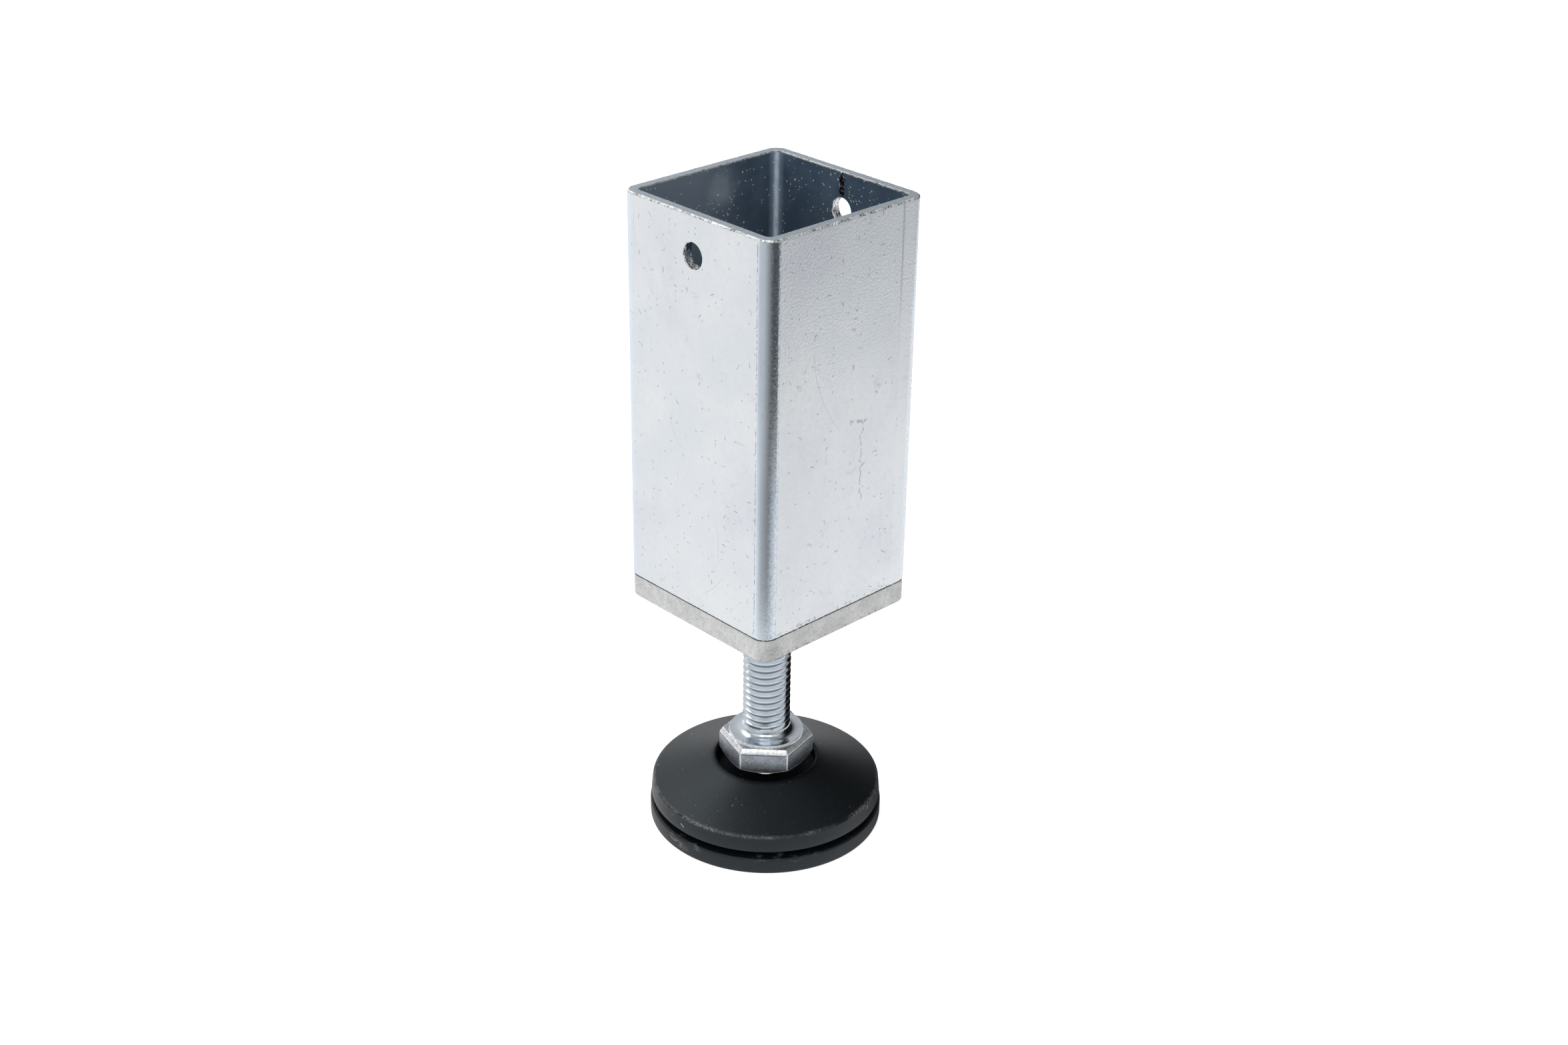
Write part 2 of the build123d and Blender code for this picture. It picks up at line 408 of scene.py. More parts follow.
def makeTubeOutside():
    material = newFinish("blueZincSheet", Metallic=1.0)
    x, y, z = split(place())[:]
    plusX = onPlusX(x, 1.0)
    wide = cloud(55, 4.0, 0.6)
    fine = cloud(900, 3.0, 0.7)
    pebble = cloud(1900, 2.0, 0.6)
    colour = blend(step(wide, 0.35, 0.7), zinc["colour"], zinc["pale"])
    violet = cloud(75, stretch=(1, 1, 0.8), move=(3, 1, 0))
    colour = blend(times(step(violet, 0.48, 0.70), 0.65), colour, zinc["violet"])
    colour = blend(times(step(fine, 0.5, 0.75), 0.24), colour, zinc["dull"])
    mottled = times(step(pebble, 0.55, 0.70), plusX)
    colour = blend(times(mottled, 0.05), colour, zinc["mark"])

    # Rolled corners: smoother, with a dotted forming line where each flat ends and dark grain on one side
    cornerStart = tubeHigh.x - tube["corner"]
    awayX, awayY = unsigned(x), unsigned(y)
    inCorner = span(least(awayX, awayY), cornerStart - 0.1, cornerStart + 0.1)
    dots = step(cloud(1500, 2.0, 0.6), 0.40, 0.60)
    for across, strength in ((awayX, 0.85), (awayY, 0.45)):
        off = apart(across, cornerStart * mm)
        line = times(times(span(off, 0.13, 0.04), dots), strength)
        line = times(line, span(minus(x, y), 30, 33))
        colour = blend(line, colour, zinc["mark"])
    colour = blend(inCorner, colour, zinc["cornerTint"], "MULTIPLY")
    darkSide = span(minus(awayX, awayY), 0.0, 0.7)
    grained = times(step(pebble, 0.40, 0.66), times(darkSide, inCorner))
    grained = times(grained, scaled(span(z, 62, 120), 0.10, 0.28))
    colour = blend(grained, colour, zinc["mark"])

    # Handling marks
    offset = times(over(minus(y, x), 0.0), 0.1)
    flatPoint = combine(plus(plus(x, y), offset), z)
    short = times(dings(flatPoint, 300, 0.20, 0.22, 0.050, 1.3), step(fine, 0.35, 0.6))
    tiny = dings(flatPoint, 560, 0.16, 0.16, 0.080, 4.7)
    long = dings(flatPoint, 80, 0.22, 0.46, 0.008, 2.9)
    scratch = most(most(short, tiny), times(long, 0.4))
    scratch = times(scratch, minus(1.0, inCorner))
    colour = blend(times(scratch, 0.56), colour, zinc["mark"])
    dark = most(specks(420, 0.06, 1.0), specks(180, 0.03, 5.0))
    dark = most(dark, times(specks(1000, 0.09, 3.0), 0.6))
    colour = blend(times(dark, 0.34), colour, zinc["mark"])

    # On the +X wall: a crack-like stain, a long scratch, and a faint line with a paler band beside it
    wobble = minus(cloud(210, 5.0, 0.7, stretch=(0, 0, 1), move=(0, 0, 3)), 0.5)
    crack = scaled(wobble, 0.0062, 0.0047)
    crack = upright(x, y, z, crack, *wearAndHighlight["crack"])
    crack = times(crack, step(fine, 0.40, 0.55))
    fall = most(minus(0.1133, z), 0.0)
    bent = scaled(times(fall, fall), 21.5, -0.0084)
    scratched = upright(x, y, z, bent, *wearAndHighlight["scratch"])
    stain = mark(*wearAndHighlight["stain"], step(fine, 0.42, 0.6))
    found = most(most(crack, stain), times(scratched, 0.7))
    colour = blend(times(found, 0.66), colour, zinc["stain"])
    lined = upright(x, y, z, 0.0141, *wearAndHighlight["line"])
    lined = times(lined, span(z, 106, 128))
    colour = blend(times(lined, 0.36), colour, zinc["mark"])
    band = times(span(y, 14.2, 14.6), onPlusX(x, 0.8))
    colour = blend(times(band, 0.5), colour, zinc["pale"])
    crinkle = cloud(420, 4.0, 0.7, 1.0, stretch=(1, 1, 1.4), move=(7, 0, 0))
    crinkle = apart(crinkle, 0.5)
    stained = times(step(crinkle, 0.02, 0.004), step(violet, 0.58, 0.68))
    colour = blend(times(stained, 0.20), colour, zinc["stain"])
    yellowed = times(step(cloud(300, 4.0, 0.7, 0.6), 0.62, 0.70), 0.16)
    colour = blend(yellowed, colour, zinc["stain"])

    # Grime just above the seam, mostly on the +X wall
    low = span(z, tubeLow.z + 2.4, tubeLow.z)
    broken = step(cloud(850, 4.0, 0.7, stretch=(1, 1, 1.6)), 0.55, 0.62)
    broken = times(broken, step(cloud(140, 2.0), 0.46, 0.58))
    side = plus(times(onPlusX(x, 3.2), 0.6), 0.10)
    grime = times(times(low, broken), side, clamp=True)
    colour = blend(grime, colour, (0.30, 0.31, 0.32, 1))

    rough = plus(times(fine, 0.12), zinc["roughness"] - 0.06)
    rough = minus(rough, times(inCorner, zinc["cornerPolish"]))
    rough = plus(rough, times(grime, 0.3))
    upper = times(span(z, 95, 125), plusX)
    pebbled = times(pebble, scaled(upper, 3.5, 1.0))
    pitted = lump(minus(pebbled, scratch), 0.016, 0.7)
    normal = lump(cloud(260, 3.0, 0.6), 0.05, 0.2, pitted)
    return cover(material, Base_Color=colour, Roughness=rough, Normal=normal)


def makeTubeRim():
    material = newFinish("sawnZincRim", Metallic=1.0, Roughness=0.42)
    saw = cloud(1.0, 3.0, 0.6, stretch=(2600, 2600, 400), turn=(0, 0, 0.6))
    colour = blend(step(saw, 0.35, 0.7), (0.44, 0.50, 0.56, 1), (0.60, 0.66, 0.71, 1))
    return cover(material, Base_Color=colour, Normal=lump(saw, 0.03, 0.5))


def makeBurr():
    material = newFinish("tornZincBurrPaintedGlints", Metallic=0.55, Roughness=0.35)
    grain = cloud(2600, 3.0, 0.7)
    coarse = cloud(900, 2.0, 0.6)
    mixed = plus(times(grain, 0.6), times(coarse, 0.4))
    # Painted glints: the burr's colour jumps between near-black and near-white by grain, standing in for its
    # sparkle
    colour = blend(step(mixed, 0.36, 0.54), (0.13, 0.135, 0.14, 1), grey(0.98))
    return cover(material, Base_Color=colour, Normal=lump(mixed, 0.15, 0.8))


def makeTubeInside():
    material = newFinish("zincInsidePaintedShadeAndLight")
    x, y, _ = split(place())[:]
    inner = (tubeHigh.x - tube["wall"]) * mm
    soft = cloud(120, 3.0, 0.6)
    # Painted shade: the inside zinc is a dark navy, for the dim light inside the tube
    colour = blend(step(soft, 0.35, 0.75), (0.085, 0.130, 0.190, 1), (0.130, 0.185, 0.250, 1))

    # Painted light: the -X wall pales away from the corner, a painted highlight patch sits high on it, and a
    # painted highlight streak runs down that corner
    onWall = span(plus(x, inner), 0.9, 0.1)
    paintedPaleWall = times(span(y, 11, -4), onWall)
    colour = blend(paintedPaleWall, colour, (0.27, 0.33, 0.40, 1))
    cloudy = times(span(farFrom(wearAndHighlight["paintedInsideHighlight"]), 5.5, 0.5), step(soft, 0.2, 0.7))
    colour = blend(times(cloudy, 0.6), colour, (0.60, 0.66, 0.72, 1))
    away = hypot(plus(x, inner - 0.38 * mm), minus(y, inner - 0.38 * mm))
    # Noise breaks up the painted highlight streak
    worn = scaled(step(cloud(900, 3.0, 0.7, stretch=(1, 1, 0.5)), 0.3, 0.6), 0.4, 0.6)
    paintedStreak = times(span(away, 0.75, 0.10), times(worn, 0.76))
    paintedStreak = plus(paintedStreak, times(span(away, 2.1, 0.4), 0.30), clamp=True)
    colour = blend(paintedStreak, colour, (0.74, 0.88, 1.0, 1))

    # Painted glints: near-white specks, made less metallic, as is the painted highlight streak
    paintedGlints = most(specks(1100, 0.20, 2.0), specks(520, 0.13, 9.0))
    paintedGlints = times(paintedGlints, step(cloud(240, 2.0), 0.38, 0.52))
    colour = blend(paintedGlints, colour, zinc["glint"])
    lit = most(paintedGlints, paintedStreak, clamp=True)
    metallic = scaled(lit, -0.25, 0.25)
    rough = plus(times(soft, 0.1), 0.38)
    normal = lump(cloud(1400, 3.0, 0.6), 0.03, 0.4)
    return cover(material, Base_Color=colour, Metallic=metallic, Roughness=rough, Normal=normal)


def makeCastMetal():
    material = newFinish("warmGreyCasting", Metallic=0.55)
    x, _, z = split(place())[:]
    grain = cloud(2400, 4.0, 0.8)
    blotch = cloud(260, 5.0, 0.7)
    colour = blend(step(blotch, 0.35, 0.7), (0.70, 0.705, 0.695, 1), (0.86, 0.865, 0.855, 1))
    colour = blend(times(step(grain, 0.50, 0.66), 0.6), colour, grey(0.42))

    # Darker worn patch beside the front corner and pits along the lower edge of the +X side
    worn = times(span(farFrom(wearAndHighlight["darkCasting"]), 3.4, 0.6), step(grain, 0.3, 0.62))
    colour = blend(times(worn, 0.55), colour, (0.34, 0.335, 0.34, 1))
    edge = span(z, plugLow.z + 1.3, plugLow.z + 0.3)
    pits = step(cloud(1300, 3.0, 0.7), 0.56, 0.64)
    pits = times(times(edge, pits), onPlusX(x, 5.0, 0.5))
    top = span(z, tubeLow.z - 0.42, tubeLow.z - 0.26)
    top = times(top, span(z, tubeLow.z + 0.3, tubeLow.z + 0.1))
    gaps = times(top, step(cloud(500, 3.0, 0.6), 0.30, 0.42))
    dark = most(times(pits, 0.7), gaps)
    colour = blend(dark, colour, (0.07, 0.07, 0.075, 1))
    rough = plus(times(grain, 0.25), 0.42)
    normal = lump(grain, 0.06, 0.7, lump(blotch, 0.15, 0.4))
    return cover(material, Base_Color=colour, Roughness=rough, Normal=normal)


def makeThreadZinc():
    material = newFinish("brightZincThread", Metallic=1.0)
    fine = cloud(1300, 3.0, 0.7)
    wide = cloud(260, 3.0, 0.6)
    colour = blend(step(wide, 0.35, 0.7), (0.66, 0.71, 0.76, 1), (0.74, 0.785, 0.83, 1))
    x, y, z = split(place())[:]
    radius = hypot(x, y)
    above = span(z, 20.5, 21.2)
    # Painted shade: the roots of the thread are darkened, from just above where it starts
    paintedRootShade = times(span(radius, 4.30, 4.05), above)
    colour = blend(times(paintedRootShade, 0.62), colour, (0.08, 0.09, 0.105, 1))
    dirt = times(specks(900, 0.09, 3.0), 0.45)
    colour = blend(dirt, colour, (0.25, 0.27, 0.30, 1))
    rough = plus(times(fine, 0.12), 0.07)
    normal = lump(fine, 0.012, 0.35)
    return cover(material, Base_Color=colour, Roughness=rough, Normal=normal)


def makeHexZinc():
    material = newFinish("forgedZincHexagon", Metallic=0.85)
    fine = cloud(2200, 4.0, 0.8)
    wide = cloud(300, 3.0, 0.6)
    # Painted reflection: the faces' zinc is dark, standing in for the black cap they mirror
    colour = blend(step(wide, 0.3, 0.7), (0.25, 0.28, 0.32, 1), (0.42, 0.46, 0.50, 1))
    white = (0.95, 0.97, 0.99, 1)
    colour = blend(times(step(fine, 0.60, 0.66), 0.5), colour, white)
    flecks = most(specks(1300, 0.15, 4.0), specks(2100, 0.17, 7.0))
    colour = blend(times(flecks, 0.9), colour, white)
    bevelFoot = (spindle["hexTop"] - spindle["hexBevelDown"] - 0.16) * mm
    off = apart(split(place())[2], bevelFoot)
    line = times(span(off, 0.15, 0.05), step(wide, 0.15, 0.35))
    colour = blend(times(line, 0.9), colour, (0.05, 0.055, 0.06, 1))
    rough = plus(times(fine, 0.2), 0.20)
    normal = lump(fine, 0.02, 0.4, lump(wide, 0.06, 0.2))
    return cover(material, Base_Color=colour, Roughness=rough, Normal=normal)


plastic = {
    "colour": (0.0012, 0.0020, 0.0029, 1),
    "cloudy": (0.0030, 0.0042, 0.0054, 1),
    "tint": (0.80, 0.92, 1.0, 1),
    "speckle": (0.010, 0.012, 0.015, 1),
    "rubbed": grey(0.22),
    "dust": (0.42, 0.42, 0.40, 1),
}


def makeBlackPlastic():
    material = newFinish("grainedBlackPlastic", Specular_Tint=plastic["tint"])
    x, y, z = split(place())[:]
    radius = hypot(x, y)
    grain = cloud(2300, 3.0, 0.7)
    cloudy = cloud(130, 4.0, 0.6)
    colour = blend(step(cloudy, 0.3, 0.8), plastic["colour"], plastic["cloudy"])
    speckled = times(step(grain, 0.54, 0.70), 0.3)
    colour = blend(speckled, colour, plastic["speckle"])
    shoulder = apart(z, (cap["shoulder"] - 0.05) * mm)
    onEdge = times(span(shoulder, 0.45, 0.05), span(radius, 22.9, 23.4))
    patchy = step(cloud(110, 3.0, 0.6), 0.38, 0.60)
    broken = step(cloud(2800, 4.0, 0.7), 0.36, 0.62)
    rub = times(times(onEdge, patchy), broken)
    colour = blend(times(rub, 0.85), colour, plastic["rubbed"])
    dust = most(specks(300, 0.05, 6.0), specks(700, 0.065, 2.5))
    dust = times(dust, step(cloud(150, 2.0), 0.42, 0.56))
    for course in wearAndHighlight["capMarks"]:
        dust = most(dust, mark(*course))
    colour = blend(dust, colour, plastic["dust"])
    rough = plus(times(grain, 0.2), 0.30)
    rough = plus(rough, times(rub, 0.2))

    # Nothing shines in the recess round the hexagon or under the rim
    hidden = span(radius, cap["recessRadius"] + 1.8, cap["recessRadius"] + 0.2)
    hidden = most(hidden, span(z, cap["rimBottom"] + 0.1, cap["rimBottom"]))
    specular = scaled(hidden, -0.45, 0.5)
    normal = lump(grain, 0.04, 0.8)
    return cover(material, Base_Color=colour, Roughness=rough, Specular_IOR_Level=specular, Normal=normal)


def makeBlackRubber():
    material = newFinish("scuffedBlackRubber", Specular_Tint=plastic["tint"])
    x, y, z = split(place())[:]
    grain = cloud(1700, 3.0, 0.7)
    colour = blend(step(grain, 0.3, 0.8), (0.0055, 0.0072, 0.0088, 1), (0.010, 0.012, 0.014, 1))
    scuff = cloud(330, 4.0, 0.7, stretch=(1, 1, 2.5))
    patch = cloud(85, 2.0, 0.5)
    top = span(z, 1.6, 3.2)
    marks = times(step(scuff, 0.52, 0.68), step(patch, 0.48, 0.62))
    rubbed = mark(*wearAndHighlight["padRub"], step(scuff, 0.40, 0.60))
    marks = most(times(times(marks, top), 0.5), rubbed)
    colour = blend(marks, colour, grey(0.20))
    dust = times(specks(600, 0.05, 7.0), 0.6)
    colour = blend(dust, colour, plastic["dust"])
    rough = plus(times(grain, 0.15), 0.38)
    hidden = span(hypot(x, y), pad["radius"] - 0.4, pad["radius"] - 0.6)
    specular = scaled(hidden, -0.4, 0.45)
    normal = lump(grain, 0.03, 0.5, lump(scuff, 0.08, 0.4))
    return cover(material, Base_Color=colour, Roughness=rough, Specular_IOR_Level=specular, Normal=normal)


finishes = {
    "sheet": makeTubeOutside(),
    "rim": makeTubeRim(),
    "burr": makeBurr(),
    "holeWall": grainFinish("drilledZincWall", 1.0, 0.25, 1700, (0.38, 0.50), zinc["mark"],
                            (0.97, 0.98, 0.99, 1), 0.2),
    "inside": makeTubeInside(),
    "bead": grainFinish("weldedBead", 0.7, 0.3, 1500, (0.52, 0.62), (0.012, 0.016, 0.022, 1),
                        zinc["glint"], 0.2),
    "cast": makeCastMetal(),
    "castEdge": grainFinish("castingWornEdge", 0.5, 0.45, 1500, (0.4, 0.6), (0.14, 0.14, 0.145, 1),
                            (0.66, 0.665, 0.66, 1), 0.08, 0.7),
    "thread": makeThreadZinc(),
    "hexagon": makeHexZinc(),
    "hexEdge": grainFinish("rubbedZincEdge", 0.7, 0.30, 1800, (0.36, 0.56), (0.62, 0.64, 0.66, 1),
                           (0.92, 0.93, 0.94, 1), 0.025, 0.4),
    "plastic": makeBlackPlastic(),
    "rubber": makeBlackRubber(),
}
print("finishes:", len(finishes))


# Outlines. Each goes round once, counter-clockwise, and starts at the same place.
def roundedPolygon(sides, flat, corner, perSide, perCorner, turn=0.0):
    points = []
    halfSide = (flat - corner) * math.tan(math.pi / sides)
    for side in range(sides):
        angle = turn + 2 * math.pi * side / sides
        out = Vector((math.cos(angle), math.sin(angle)))
        along = Vector((-out.y, out.x))
        for k in range(perSide):
            points.append(out * flat + along * halfSide * (2 * k / perSide - 1))
        centre = out * (flat - corner) + along * halfSide
        for k in range(perCorner):
            swing = angle + 2 * math.pi / sides * k / perCorner
            points.append(centre + corner * Vector((math.cos(swing), math.sin(swing))))
    return points


def circleLike(outline, radius):
    return [point.normalized() * radius for point in outline]


def circle(radius, count):
    return [radius * Vector((math.cos(2 * math.pi * k / count), math.sin(2 * math.pi * k / count)))
            for k in range(count)]


def atHeight(outline, height):
    return [Vector((point.x, point.y, height)) for point in outline]


# Joins rings of equal count by quads; a loop closes on its first ring, and otherwise both ends are capped
def loft(rings, zones, loop=False):
    # Each band's zone is its material slot, or a list with a slot for each column
    mesh = bmesh.new()
    count = len(rings[0])
    rows = [[mesh.verts.new(point) for point in ring] for ring in rings]
    following = rows[1:] + rows[:1] if loop else rows[1:]
    for band, (lower, upper) in enumerate(zip(rows, following)):
        zone = zones[band % len(zones)]
        for k in range(count):
            after = (k + 1) % count
            face = mesh.faces.new((lower[k], lower[after], upper[after], upper[k]))
            face.material_index = zone[k] if isinstance(zone, list) else zone
    if not loop:
        mesh.faces.new(rows[0][::-1]).material_index = zones[0]
        mesh.faces.new(rows[-1]).material_index = zones[-1]
    return mesh


def newObject(name, mesh, materials):
    data = bpy.data.meshes.new(name)
    mesh.to_mesh(data)
    mesh.free()
    for material in materials:
        data.materials.append(material)
    piece = bpy.data.objects.new(name, data)
    bpy.context.scene.collection.objects.link(piece)
    return piece


def plainMesh(piece):
    bpy.context.view_layer.update()
    graph = bpy.context.evaluated_depsgraph_get()
    data = bpy.data.meshes.new_from_object(piece.evaluated_get(graph))
    piece.modifiers.clear()
    piece.data = data
    return piece


# Joins the parts into the first, scales millimetres to metres and turns every face outwards
def finishPiece(parts, body, nodes):
    first = parts[0]
    joined = bmesh.new()
    slots = []
    for part in parts:
        slots += [material for material in part.data.materials if material not in slots]
        remap = [slots.index(material) for material in part.data.materials]
        start = len(joined.faces)
        joined.from_mesh(part.data)
        joined.faces.ensure_lookup_table()
        for face in joined.faces[start:]:
            face.material_index = remap[min(face.material_index, len(remap) - 1)]
    bmesh.ops.scale(joined, vec=(mm, mm, mm), verts=joined.verts)
    bmesh.ops.recalc_face_normals(joined, faces=joined.faces)
    for face in joined.faces:
        face.smooth = True
    for edge in joined.edges:
        if len(edge.link_faces) == 2 and edge.calc_face_angle(0.0) > sharpEdge:
            edge.smooth = False
    data = bpy.data.meshes.new(first.name)
    joined.to_mesh(data)
    joined.free()
    for material in slots:
        data.materials.append(material)
    first.data = data
    for part in parts[1:]:
        bpy.data.objects.remove(part)
    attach(first, body)
    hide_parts(*nodes)
    triangles = sum(len(face.vertices) - 2 for face in data.polygons)
    print(f"{first.name}: {triangles} triangles")


# Geometry Nodes
def newTree(name, inputs):
    tree = bpy.data.node_groups.new(name, "GeometryNodeTree")
    openTree(tree)
    tree.interface.new_socket("Geometry", in_out="OUTPUT", socket_type="NodeSocketGeometry")
    for label, kind, value in inputs:
        socket = tree.interface.new_socket(label, in_out="INPUT", socket_type="NodeSocket" + kind)
        if value is not None:
            socket.default_value = value
    return tree, put("NodeGroupInput").outputs


def grow(name, tree, finish, values):
    piece = newObject(name, bmesh.new(), [finish])
    values["Finish"] = finish
    modifier = piece.modifiers.new(tree.name, "NODES")
    modifier.node_group = tree
    for item in tree.interface.items_tree:
        if item.in_out == "INPUT" and item.name in values:
            modifier[item.identifier] = values[item.name]
    return plainMesh(piece)


def finishTree(geometry, material):
    real = geo("RealizeInstances", {"Geometry": geometry})
    painted = geo("SetMaterial", {"Geometry": real, "Material": material})
    put("NodeGroupOutput", {0: painted})


# A rolled screw thread: a grid is wound round the axis, one turn for each pitch of its length
def makeThreadTree():
    tree, given = newTree("rolledThread", [
        ("Pitch", "Float", 1.5), ("Crest Radius", "Float", 4.9), ("Depth", "Float", 0.9),
        ("Shank Radius", "Float", 4.5), ("Run Out", "Float", 1.5), ("Tip Chamfer", "Float", 1.0),
        ("Bottom", "Float", 0.0), ("Top", "Float", 60.0), ("Columns", "Int", 84),
        ("Rows Per Pitch", "Int", 16), ("Finish", "Material", None)])
    length = minus(given["Top"], given["Bottom"])
    turns = plus(calc("CEIL", calc("DIVIDE", length, given["Pitch"])), 2.0)
    rows = plus(times(turns, given["Rows Per Pitch"]), 1.0)
    columns = plus(given["Columns"], 1.0)
    grid = geo("MeshGrid", {"Size X": 1.0, "Size Y": 1.0, "Vertices X": rows, "Vertices Y": columns})
    x, y, _ = split(geo("InputPosition"))[:]
    travel = times(plus(x, 0.5), turns)
    turn = plus(y, 0.5)
    raised = minus(plus(travel, turn), 1.0)
    height = plus(times(raised, given["Pitch"]), given["Bottom"])
    height = least(most(height, given["Bottom"]), given["Top"])

    # Distance from the crest's middle as a share of half a pitch: crest flat, flank, root flat
    phase = calc("FRACT", plus(travel, 0.00001))
    aside = times(apart(phase, 0.5), 2.0)
    down = shade("MapRange", {"Value": aside, "From Min": 0.125, "From Max": 0.75}).outputs[0]
    wound = minus(given["Crest Radius"], times(down, given["Depth"]))
    rise = step(minus(height, given["Bottom"]), 0.0, given["Run Out"])
    growth = times(minus(wound, given["Shank Radius"]), rise)
    radius = plus(given["Shank Radius"], growth)
    tip = minus(given["Crest Radius"], given["Tip Chamfer"])
    radius = least(radius, plus(tip, minus(given["Top"], height)))
    angle = times(turn, 2 * math.pi)
    point = combine(times(radius, calc("COSINE", angle)), times(radius, calc("SINE", angle)), height)
    wall = geo("SetPosition", {"Geometry": grid, "Position": point})

    # The wall and a lid at each end are joined
    join = put("GeometryNodeJoinGeometry")
    feed(join.inputs[0], geo("FlipFaces", {"Mesh": wall}))
    for end, size, flip in (("Bottom", given["Shank Radius"], True), ("Top", tip, False)):
        lid = geo("MeshCircle", {"Vertices": given["Columns"], "Radius": size}, fill_type="NGON")
        lid = geo("Transform", {"Geometry": lid, "Translation": combine(z=given[end])})
        if flip:
            lid = geo("FlipFaces", {"Mesh": lid})
        feed(join.inputs[0], lid)
    merged = geo("MergeByDistance", {"Geometry": join.outputs[0], "Distance": 0.0005})
    finishTree(merged, given["Finish"])
    return tree


# Ribs or webs set round the axis: each is a box from one radius to another, whose top may slope
def makeRibTree():
    tree, given = newTree("ringOfRibs", [
        ("Count", "Int", 8), ("Inner Radius", "Float", 5.0), ("Outer Radius", "Float", 20.0),
        ("Bottom", "Float", 0.0), ("Top", "Float", 5.0), ("Thickness", "Float", 1.5),
        ("Sideways", "Float", 0.0), ("Top Slope", "Float", 0.0), ("Finish", "Material", None)])
    length = minus(given["Outer Radius"], given["Inner Radius"])
    tall = minus(given["Top"], given["Bottom"])
    size = combine(length, given["Thickness"], tall)
    box = geo("MeshCube", {"Size": size})
    middle = times(plus(given["Outer Radius"], given["Inner Radius"]), 0.5)
    centre = times(plus(given["Top"], given["Bottom"]), 0.5)
    move = combine(middle, given["Sideways"], centre)
    box = geo("Transform", {"Geometry": box, "Translation": move})
    x, _, z = split(geo("InputPosition"))[:]
    lift = times(minus(given["Outer Radius"], x), given["Top Slope"])
    shift = combine(z=times(lift, over(z, centre)))
    box = geo("SetPosition", {"Geometry": box, "Offset": shift})

    points = geo("Points", {"Count": given["Count"]})
    share = calc("DIVIDE", geo("InputIndex"), given["Count"])
    turn = combine(z=times(share, 2 * math.pi))
    copies = geo("InstanceOnPoints", {"Points": points, "Instance": box, "Rotation": turn})
    finishTree(copies, given["Finish"])
    return tree


threadTree = makeThreadTree()
ribTree = makeRibTree()


tubeFinishes = [finishes[name] for name in ("sheet", "rim", "burr", "inside", "holeWall")]


# Tube: up the outside, over the sawn rim, down the inside
def makeTube():
    half = tubeHigh.x
    low, high = tubeLow.z, tubeHigh.z
    sheet, rim, burr, inside = 0, 1, 2, 3

    def ring(inset, height, jag=0.0, jagHeight=0.0, seed=0.0):
        share = inset / tube["wall"]
        corner = tube["corner"] + (tube["innerCorner"] - tube["corner"]) * share
        outline = roundedPolygon(4, half - inset, corner, tube["pointsPerSide"], tube["pointsPerCorner"])
        points = []
        for point in outline:
            spot = Vector((point.x, point.y, seed)) / tube["burrGrain"]
            tear = max(0.0, noise.noise(spot) * 1.6)
            nick = max(0.0, noise.noise(spot * 0.37 + Vector((0, 0, 9))) * 1.8)
            shrink = 1 - jag * tear / half
            points.append(Vector((point.x * shrink, point.y * shrink, height - jagHeight * max(tear, nick))))
        return points

    rows = int((high - low - 2.0) / tube["rowSpacing"])
    steps = [low + 0.9 + (high - low - 1.9) * k / rows for k in range(rows + 1)]
    wall = tube["wall"]
    torn = tube["burrDepth"]
    rings = [ring(0.0, low, 0.02, -0.10, 4.0), ring(0.0, low + 0.25, 0.01)]
    rings += [ring(0.0, height) for height in steps]
    rings += [ring(0.0, high - 0.55), ring(0.0, high - 0.34, 0.1 * torn, 0.5 * torn, 1.0)]
    zones = [sheet] * (len(rings) - 1)
    rings += [ring(0.04, high - 0.17, 0.8 * torn, 0.8 * torn, 1.4)]
    rings += [ring(0.16, high - 0.02, torn, 0.7 * torn, 1.8)]
    zones += [burr, burr]
    strip = [0.34, 0.6, 1.0, 1.4, wall - 0.22, wall - 0.08]
    rings += [ring(inset, high - 0.005) for inset in strip]
    zones += [burr] + [rim] * (len(strip) - 1)
    rings += [ring(wall, high - 0.06, 0.0, tube["innerBurr"], 6.0), ring(wall, high - 0.3, 0.0, 0.1, 6.5)]
    zones += [burr, burr]
    rings += [ring(wall, height) for height in [high - 0.6] + steps[::-1][1:] + [low]]
    zones += [inside] * (len(rings) - len(zones))
    for point in rings[0]:
        if point.x < half - 0.3:
            point.z = low + (point.z - low) * 0.45
    return newObject("squareTube", loft(rings, zones, loop=True), tubeFinishes)


# The drill: a rod across both holes, wider where it breaks through a face, with a torn wall
def makeDrill():
    half, wall = tubeHigh.x, tube["wall"]
    flare = tube["holeFlare"]
    stations = [(half + 1, flare + 0.3), (half - 0.02, flare), (half - 0.14, 0.0)]
    for k in range(1, 8):
        stations.append((half - 0.14 - k * (wall - 0.28) / 8, 0.0))
    stations += [(half - wall + 0.14, 0.0), (half - wall + 0.02, 0.8 * flare), (half - wall - 0.8, 0.5)]
    stations += [(-across, extra) for across, extra in reversed(stations)]
    rings = []
    for across, extra in stations:
        ring = []
        for point in circle(holeRadius + extra, tube["drillPoints"]):
            spot = Vector((point.x * 1.2, point.y * 1.2, across * 2.4))
            rough = 0.0 if extra else 0.05 * noise.noise(spot * 2.2)
            ring.append(Vector((point.x * (1 - rough), across, holeHeight + point.y * (1 - rough))))
        rings.append(ring)
    drill = newObject("drill", loft(rings, [4]), tubeFinishes)
    mesh = bmesh.new()
    mesh.from_mesh(drill.data)
    bmesh.ops.recalc_face_normals(mesh, faces=mesh.faces)
    mesh.to_mesh(drill.data)
    mesh.free()
    return drill


